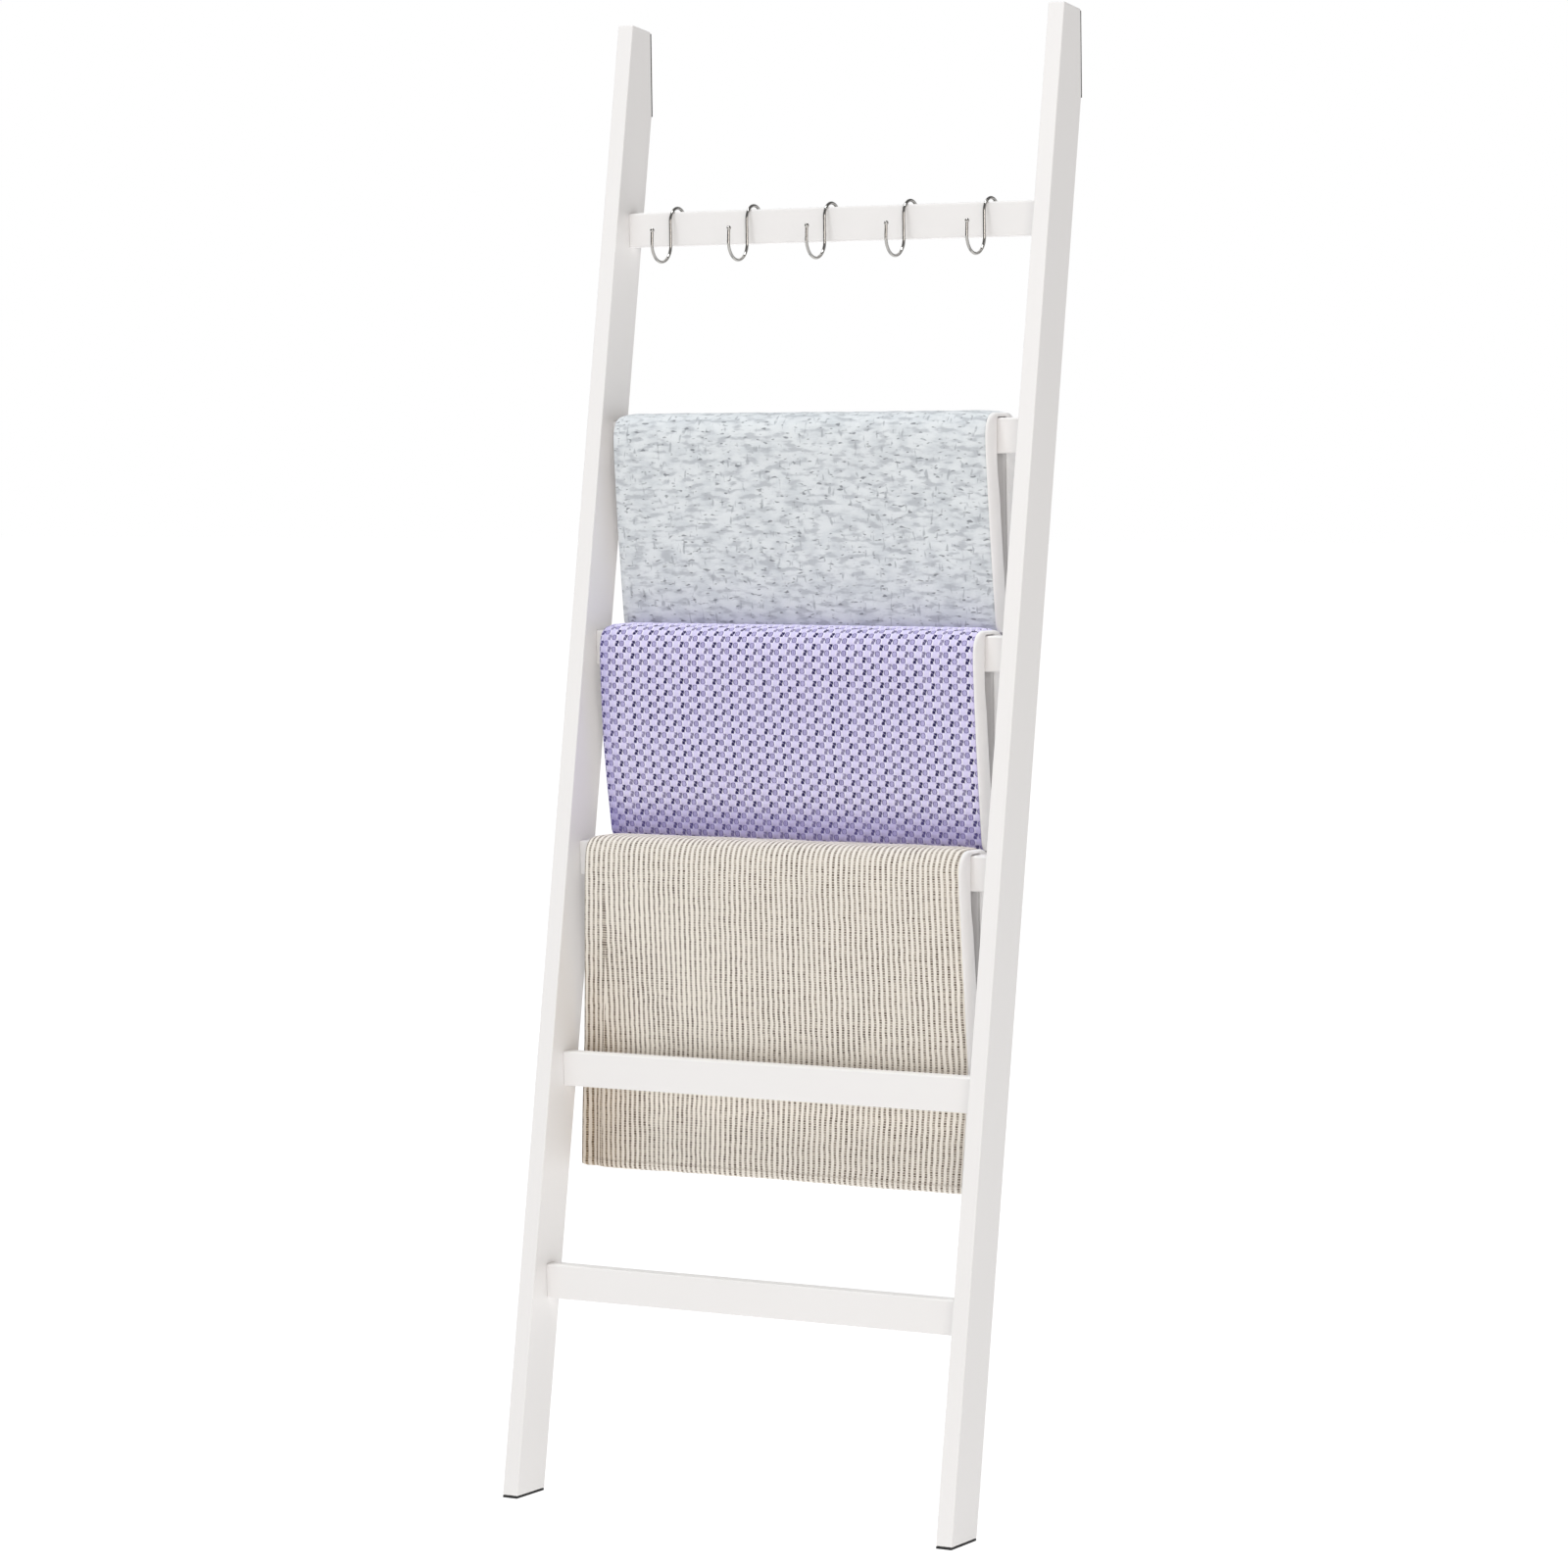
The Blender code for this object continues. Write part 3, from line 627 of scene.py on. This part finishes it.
def filling(hanging, material):
    """The padding: a closed body inside the quilt, blown up by pressure and then held to a small swell."""
    share_in = FILLING_DEPTH / np.hypot(*(hanging.outer - hanging.inner).T)
    share_in = np.minimum(share_in, 0.32)[:, None]
    outer = hanging.outer * (1 - share_in) + hanging.inner * share_in
    inner = hanging.inner * (1 - share_in) + hanging.outer * share_in
    outline = np.concatenate([outer[1:-1], inner[1:-1][::-1]])
    count = len(outline)
    low, high = hanging.low + BINDING[0] + 0.004, hanging.high - BINDING[1] - 0.004
    points = [(x, y, z) for x in (low, high) for y, z in outline]
    faces = [(k, (k + 1) % count, count + (k + 1) % count, count + k) for k in range(count)]
    faces += [tuple(range(count))[::-1], tuple(range(count, 2 * count))]
    obj = mesh_object(f"{hanging.place}_quilt_filling", points, faces, None, material)
    bpy.ops.object.select_all(action="DESELECT")
    obj.select_set(True)
    bpy.context.view_layer.objects.active = obj
    bpy.ops.object.mode_set(mode="EDIT")
    bpy.ops.mesh.select_all(action="SELECT")
    bpy.ops.mesh.normals_make_consistent(inside=False)
    bpy.ops.object.mode_set(mode="OBJECT")
    remesh = obj.modifiers.new("remesh", "REMESH")
    remesh.mode, remesh.voxel_size, remesh.use_smooth_shade = "VOXEL", VOXEL, True
    bpy.ops.object.modifier_apply(modifier="remesh")
    rest = coordinates(obj.data)
    normals = np.array([v.normal[:] for v in obj.data.vertices])
    pinned = obj.vertex_groups.new(name="on_rung")
    for index, (x, y, z) in enumerate(rest):
        if z > hanging.edge_z - 0.035 and hanging.edge_y - 0.01 < y < hanging.rung_back + 0.01:
            pinned.add([index], 1.0, "REPLACE")
    cloth = obj.modifiers.new("pressure", "CLOTH")
    cloth.settings.quality = 4
    cloth.settings.mass = 0.3
    cloth.settings.tension_stiffness = 25
    cloth.settings.compression_stiffness = 25
    cloth.settings.bending_stiffness = 2
    cloth.settings.use_pressure = True
    cloth.settings.uniform_pressure_force = 4
    cloth.settings.effector_weights.gravity = 0
    cloth.settings.vertex_group_mass = "on_rung"
    cloth.point_cache.frame_start, cloth.point_cache.frame_end = 1, 20
    for number in range(1, 21):
        bpy.context.scene.frame_set(number)
    blown = obj.evaluated_get(bpy.context.evaluated_depsgraph_get()).to_mesh()
    moved = coordinates(blown) - rest
    obj.modifiers.remove(cloth)
    bpy.context.scene.frame_set(1)
    outward = np.maximum((moved * normals).sum(axis=1), 0.0)
    swell = SWELL_CAP * np.tanh(outward / SWELL_CAP)
    tree = KDTree(len(rest))
    for index, point in enumerate(rest):
        tree.insert(point, index)
    tree.balance()
    hanging.swelling = tree, swell
    obj.data.vertices.foreach_set("co", (rest + normals * swell[:, None]).ravel())
    obj.vertex_groups.clear()
    smoothed_in_place(obj, hanging)
    return obj


def coordinates(mesh):
    """All of a mesh's points, as an array."""
    points = np.empty(len(mesh.vertices) * 3)
    mesh.vertices.foreach_get("co", points)
    return points.reshape(-1, 3)


def smoothed_in_place(obj, hanging):
    """Strays the filling's points as its quilt does, and smooths its mesh."""
    obj.data.vertices.foreach_set("co", hanging.stray(coordinates(obj.data)).ravel())
    division = obj.modifiers.new("division", "SUBSURF")
    division.levels = division.render_levels = 1
    bpy.ops.object.modifier_apply(modifier="division")
    obj.data.polygons.foreach_set("use_smooth", np.ones(len(obj.data.polygons), bool))


def binding(hanging, side, sign, material):
    """The strip that closes one side: it bulges outward, with a sewn groove near its inner edge."""
    rows = np.linspace(0, len(hanging.outer) - 1, 260)
    index = np.arange(len(hanging.outer))
    outer = np.stack([np.interp(rows, index, hanging.outer[:, k]) for k in (0, 1)], axis=1)
    inner = np.stack([np.interp(rows, index, hanging.inner[:, k]) for k in (0, 1)], axis=1)
    thick = np.hypot(*(outer - inner).T)[:, None]
    top = hanging.over_top(outer)[:, None]
    shares = np.concatenate([[0.0], 0.5 - 0.5 * np.cos(np.linspace(0, pi, 23)[1:-1]), [1.0]])[None]
    width, under = BINDING[sign > 0], BINDING_UNDER[sign > 0]
    start = (under + 0.0012 * top) / thick
    end = 1 - 0.0006 / thick
    depth = start + (end - start) * shares
    edge = hanging.low if sign < 0 else hanging.high
    rim = edge - sign * (width - 0.0002)
    bulge = (width + 0.0001) * np.sqrt(np.clip(1 - np.abs(2 * shares - 1) ** 2.6, 0, 1))
    groove = 0.0013 * np.exp(-(((shares - GROOVE) / 0.035) ** 2))
    along = along_line(outer)[:, None]
    puckers = 0.00025 * np.sin(along / 0.0042 * 2 * pi) * np.exp(-(((shares - GROOVE) / 0.10) ** 2))
    wave = 0.0003 * ripple(shares * 0.02, along, 0.05, 11 + (sign > 0))
    x = rim + sign * (bulge - groove - puckers + wave * np.sin(pi * shares))
    grid = np.empty((len(rows), shares.shape[1], 3))
    grid[..., 0] = x
    for k in (0, 1):
        grid[..., k + 1] = outer[:, None, k] * (1 - depth) + inner[:, None, k] * depth
    grid = hanging.stray(grid)
    places = np.stack(np.broadcast_arrays(shares * thick, along), axis=-1)
    if sign < 0:
        grid, places = grid[:, ::-1], places[:, ::-1]
    return closed_strip(f"{hanging.place}_quilt_edge_{side}", grid, places, material)


def closed_strip(name, grid, places, material):
    """A strip closed by its flat inner side, which runs between the two edges of the grid."""
    rows, columns = grid.shape[:2]
    faces = [
        (j * columns + i, j * columns + i + 1, (j + 1) * columns + i + 1, (j + 1) * columns + i)
        for j in range(rows - 1)
        for i in range(columns - 1)
    ]
    faces += [
        (j * columns + columns - 1, j * columns, (j + 1) * columns, (j + 1) * columns + columns - 1)
        for j in range(rows - 1)
    ]
    faces.append(tuple(range(columns))[::-1])
    faces.append(tuple((rows - 1) * columns + i for i in range(columns)))
    return mesh_object(name, grid.reshape(-1, 3), faces, places.reshape(-1, 2), material)


# --- cloth relief -------------------------------------------------------------

def dome(distance, reach):
    """1 at no distance, and down to 0 at this reach as a round thing is."""
    return np.sqrt(np.clip(1 - (distance / reach) ** 2, 0, 1))


def waffle_relief(across, along):
    """Raised floats, yarn bundles and open slits of the waffle, in staggered rows."""
    rows = along / (WAFFLE_DOWN / 2)
    row = np.floor(rows)
    down = rows - row - 0.5
    columns = across / WAFFLE_ACROSS + (row % 2) * 0.5
    over = columns - np.floor(columns)
    swing = np.sin(down * 2 * pi) * SLIT_SWING
    slit = smooth((0.095 - np.abs(over - SLIT - swing)) / 0.05) * smooth((0.47 - np.abs(down)) / 0.09)
    crossed = smooth((np.abs(down + (over - SLIT) * SLIT_SLOPE) - 0.02) / 0.12)
    bundle = dome(np.abs(over - BUNDLE), 0.145) * dome(np.abs(down), 0.56)
    block_side = np.minimum(np.abs(over - BLOCK), np.abs(over - BLOCK + 1))
    block = dome(block_side, 0.27) ** 0.7 * dome(np.abs(down), 0.60) ** 0.8
    return 0.0011 * block + 0.0006 * bundle - 0.0012 * slit * (0.4 + 0.6 * crossed) - 0.0004


def weave_relief(across, along):
    """Upright cords with channels between them."""
    side = across / CORD_PITCH
    return 0.00028 * np.cos(2 * pi * (side - 0.5)) + 0.0004 * ripple(across, along * 0.5, 0.05, 5)


def melange_relief(across, along):
    """Soft felted unevenness."""
    return 0.00045 * ripple(across, along, 0.035, 3) + 0.0002 * ripple(across, along * 2.5, 0.014, 4)


def backing_relief(across, along):
    """Long soft creases down the backing."""
    return 0.0006 * ripple(across, along * 0.22, 0.03, 8) + 0.0003 * ripple(across, along, 0.05, 9)


# --- hooks --------------------------------------------------------------------

WIRE = 0.0017             # radius
CURL = 0.0158             # radius of the curl over the rung, to the wire's middle
CURL_TIP = radians(15)    # that the curl goes on below level behind the rung
BOWL = 0.01975            # radius of the bowl, to the wire's middle
HOOK_DROP = 0.0588        # from the rung's top to the underside of the bowl
NOSE = 0.0145             # from the bowl's front to the middle of the ball
NOSE_LEAN = radians(4)
BALL = 0.0026             # radius
WIRE_SIDES = 20
BEND_STEPS = 44


def yz(angle, length):
    """A move of this length, at this angle from straight back towards straight up."""
    return Vector((0.0, cos(angle) * length, sin(angle) * length))


def hook(number, material):
    """A wire bent by spinning a ring round the curl and the bowl, with a ball on its front end."""
    joint = next(j for j in frame["joints"] if j["name"] == f"hook_{number}_swing")
    pivot = Vector(joint["pos_m"])
    rung_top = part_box("rung_1")[1][2]

    bpy.ops.object.select_all(action="DESELECT")
    start = pivot + yz(-CURL_TIP, CURL)
    bpy.ops.mesh.primitive_circle_add(
        vertices=WIRE_SIDES, radius=WIRE, fill_type="NOTHING", location=start, rotation=(-CURL_TIP, 0, 0)
    )
    obj = bpy.context.object
    obj.name = obj.data.name = f"bent_hook_{number}"
    bpy.ops.object.transform_apply(location=True, rotation=True, scale=True)
    bpy.ops.object.mode_set(mode="EDIT")
    bpy.ops.mesh.select_all(action="SELECT")
    bpy.ops.mesh.spin(steps=BEND_STEPS, angle=-(pi + CURL_TIP), center=pivot, axis=(1, 0, 0))
    stem_top = pivot + yz(pi, CURL)
    bowl = Vector((pivot.x, stem_top.y - BOWL, rung_top - HOOK_DROP + WIRE + BOWL))
    bpy.ops.mesh.extrude_region_move(TRANSFORM_OT_translate={"value": (0, 0, bowl.z - stem_top.z)})
    bpy.ops.mesh.spin(steps=BEND_STEPS, angle=pi + NOSE_LEAN, center=bowl, axis=(1, 0, 0))
    nose_foot = bowl + yz(-pi - NOSE_LEAN, BOWL)
    along = Vector((0.0, sin(NOSE_LEAN), cos(NOSE_LEAN)))
    nose_end = nose_foot + along * NOSE
    neck = acos(WIRE / BALL) + pi / 2
    centre, radius = nose_foot, WIRE
    for angle in np.linspace(neck, radians(8), 11):
        onward, wide = nose_end + along * (BALL * cos(angle)), BALL * sin(angle)
        bpy.ops.mesh.extrude_region_move(TRANSFORM_OT_translate={"value": onward - centre})
        bpy.ops.transform.resize(value=(wide / radius,) * 3, center_override=onward)
        centre, radius = onward, wide
    bpy.ops.mesh.edge_face_add()
    bpy.ops.object.mode_set(mode="OBJECT")
    round_tip(obj, start, yz(-CURL_TIP - pi / 2, 1.0))
    bpy.ops.object.mode_set(mode="EDIT")
    bpy.ops.mesh.select_all(action="SELECT")
    bpy.ops.mesh.remove_doubles(threshold=0.00002)
    bpy.ops.mesh.normals_make_consistent(inside=False)
    bpy.ops.object.mode_set(mode="OBJECT")
    obj.data.materials.append(material)
    bpy.ops.object.shade_smooth_by_angle(angle=radians(40))
    return obj


def round_tip(obj, centre, onward):
    """Rounds the wire's back end off."""
    for part in (*obj.data.edges, *obj.data.polygons):
        part.select = False
    for vertex in obj.data.vertices:
        off = vertex.co - centre
        vertex.select = abs(off.dot(onward)) < 0.00002 and off.length < WIRE * 1.05
    bpy.ops.object.mode_set(mode="EDIT")
    bpy.ops.mesh.select_mode(type="VERT")
    radius, place = WIRE, centre
    for angle in np.linspace(0, radians(80), 6)[1:]:
        further = centre + onward * (WIRE * sin(angle))
        bpy.ops.mesh.extrude_region_move(TRANSFORM_OT_translate={"value": further - place})
        bpy.ops.transform.resize(value=(WIRE * cos(angle) / radius,) * 3, center_override=further)
        radius, place = WIRE * cos(angle), further
    bpy.ops.mesh.edge_face_add()
    bpy.ops.object.mode_set(mode="OBJECT")


# --- the whole ----------------------------------------------------------------

PAINT, BEECH, RUBBER, STEEL = white_paint(), beech(), black_rubber(), polished_steel()
COTTON = cotton("white_cotton", (0.91, 0.895, 0.890), (0.96, 0.95, 0.945))
# The lining's cotton is a darker copy of the white cotton: painted shade, for the lining that hangs in shade
# between the panels.
SHADED_LINING = cotton("lining_cotton_painted_shade", (0.68, 0.67, 0.67), (0.77, 0.76, 0.76))
WADDING = wadding()

LADDER_FINISHES = {"rail_": PAINT, "rung_": PAINT, "dowel_": BEECH, "foot_pad_": RUBBER, "wall_pad_": RUBBER}
for name, obj in frame["nodes"].items():
    for start, finish in LADDER_FINISHES.items():
        if name.startswith(start):
            for slot in obj.material_slots:
                slot.material = finish

for number in range(1, 6):
    made = hook(number, STEEL)
    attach(made, f"hook_{number}")
    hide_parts(f"hook_{number}")


def lower_fold(x, depth):
    """A soft upright fold near the left edge, and a gentle sway along the hem, both growing downwards."""
    low = smooth((depth - 0.16) / 0.20)
    crease = 0.0050 * np.exp(-(((x + 0.232 + 0.02 * (depth - 0.37)) / 0.009) ** 2))
    swell = -0.0035 * np.exp(-(((x + 0.195) / 0.030) ** 2))
    sway = 0.0015 * np.sin((x + 0.1) / 0.17 * pi)
    return low * (crease + swell + sway)


def slight_fold(x, depth):
    """A little unevenness of a panel that hangs between its rung and the next quilt."""
    middle = np.sin(np.clip(depth / 0.235, 0, 1) * pi)
    return middle * 0.0012 * np.sin(x / 0.23 * pi + 0.6)


# Each quilt: its rung, how far it hangs down in front and behind, and the depth where its lean is done.
# Then how far its left and its right edge stray towards +X at some depths, how it folds, and its hem.
QUILTS = (
    Hanging("upper", 2, 0.2345, 0.280, 0.2345,
            [(0.0, 0.0002), (0.12, -0.0008), (0.235, 0.0003)],
            [(0.0, -0.0007), (0.12, -0.0002), (0.235, 0.0010)], slight_fold),
    Hanging("middle", 3, 0.2345, 0.280, 0.2345,
            [(0.0176, -0.0004), (0.07, -0.0018), (0.1236, -0.0027), (0.18, -0.0010), (0.2296, 0.0014)],
            [(0.0, -0.0003), (0.12, -0.0013), (0.235, -0.0010)], slight_fold),
    Hanging("lower", 4, 0.370, 0.360, 0.230,
            [(0.0166, 0.0), (0.129, -0.0084), (0.20, -0.0138), (0.239, -0.0168), (0.304, -0.0199),
             (0.3706, -0.0221)],
            [(0.0, 0.0), (0.239, -0.0003), (0.292, -0.0037), (0.375, -0.0108)], lower_fold, (0.004, 0.72)),
)

# Each face's finish, slot and relief, and how many points it has across and along.
FACES = {
    "upper": (grey_melange(), "grey_melange", melange_relief, 241, 265),
    "middle": (lavender_waffle(), "lavender_waffle", waffle_relief, 325, 273),
    "lower": (beige_open_weave(), "beige_open_weave", weave_relief, 433, 197),
}
LINING_IN = BINDING[0] + 0.0002, BINDING[1] + 0.0002


def clear_of_rung(points, hanging):
    """0 where the backing touches its rung, and 1 further down."""
    return smooth((hanging.edge_z - 0.036 - points[:, 1]) / 0.03)


for hanging in QUILTS:
    body = f"{hanging.place}_quilt"
    filled = filling(hanging, WADDING)
    material, slot, relief, columns, rows = FACES[hanging.place]

    wrapped = hem_wrapped(hanging.outer, hanging.inner)
    points, places, length = hanging.side(wrapped, columns, rows, 1, COVER_IN, relief)
    face = shell(f"{body}_cover", points, CLOTH, CLOTH_STEPS, places, material)
    edges = [binding(hanging, side, sign, COTTON) for side, sign in (("left", -1), ("right", 1))]

    points, places, back_length = hanging.side(
        hanging.inner, 121, 201, -1, LINING_IN, backing_relief,
        hold=lambda points: clear_of_rung(points, hanging),
    )
    backing = shell(f"{body}_lining", points[:, ::-1], CLOTH, 2, places[:, ::-1], SHADED_LINING)

    for made, node, finish in (
        (face, "face", slot), (backing, "backing", "white_cotton"), (filled, "wadding", "wadding"),
        (edges[0], "binding_left", "white_cotton"), (edges[1], "binding_right", "white_cotton"),
    ):
        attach(made, body)
        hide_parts(f"{body}_{node}")


# --- floor, lights and camera -------------------------------------------------

AMBIENT = 0.20            # of the world's light on the object, while the camera sees it at full strength

bpy.ops.object.select_all(action="DESELECT")
bpy.ops.mesh.primitive_plane_add(size=60, location=(0, 0, 0))
floor = bpy.context.object
floor.name = "floor"
floor.data.materials.append(pale_floor())

world = bpy.data.worlds.new("studio")
bpy.context.scene.world = world
studio = Nodes(world)
background = studio.tree.nodes["Background"]
studio.feed(background.inputs["Color"], (1.0, 1.0, 1.0))
seen = studio.node("LightPath", output="Is Camera Ray")
studio.feed(background.inputs["Strength"], seen.math("MULTIPLY_ADD", 1.0 - AMBIENT, AMBIENT))


def soft_light(name, place, size, power, color):
    """A square light that faces the middle of the ladder."""
    light = bpy.data.lights.new(name, "AREA")
    light.shape, light.size, light.energy, light.color = "SQUARE", size, power, color
    obj = bpy.data.objects.new(name, light)
    bpy.context.scene.collection.objects.link(obj)
    obj.location = place
    obj.rotation_euler = (Vector((0, 0, 0.85)) - Vector(place)).to_track_quat("-Z", "Y").to_euler()


soft_light("key", (-1.2, -1.9, 9.7), 2.6, 560, (0.96, 0.985, 1.0))
soft_light("fill", (4.4, -5.8, 2.2), 3.0, 128, (1.0, 0.94, 0.89))

CAMERA_FROM = Vector((3.055, -4.996, 1.247))
CAMERA_AT = Vector((0.0018, -0.0128, 0.8005))
CAMERA_ROLL = radians(-0.80)

lens = bpy.data.cameras.new("camera")
lens.sensor_width, lens.lens = 36.0, 121.6
camera = bpy.data.objects.new("camera", lens)
bpy.context.scene.collection.objects.link(camera)
facing = (CAMERA_AT - CAMERA_FROM).to_track_quat("-Z", "Y").to_matrix()
turned = facing @ Matrix.Rotation(CAMERA_ROLL, 3, "Z")
camera.matrix_world = Matrix.Translation(CAMERA_FROM) @ turned.to_4x4()
bpy.context.scene.camera = camera
bpy.context.scene.view_settings.view_transform = "Standard"
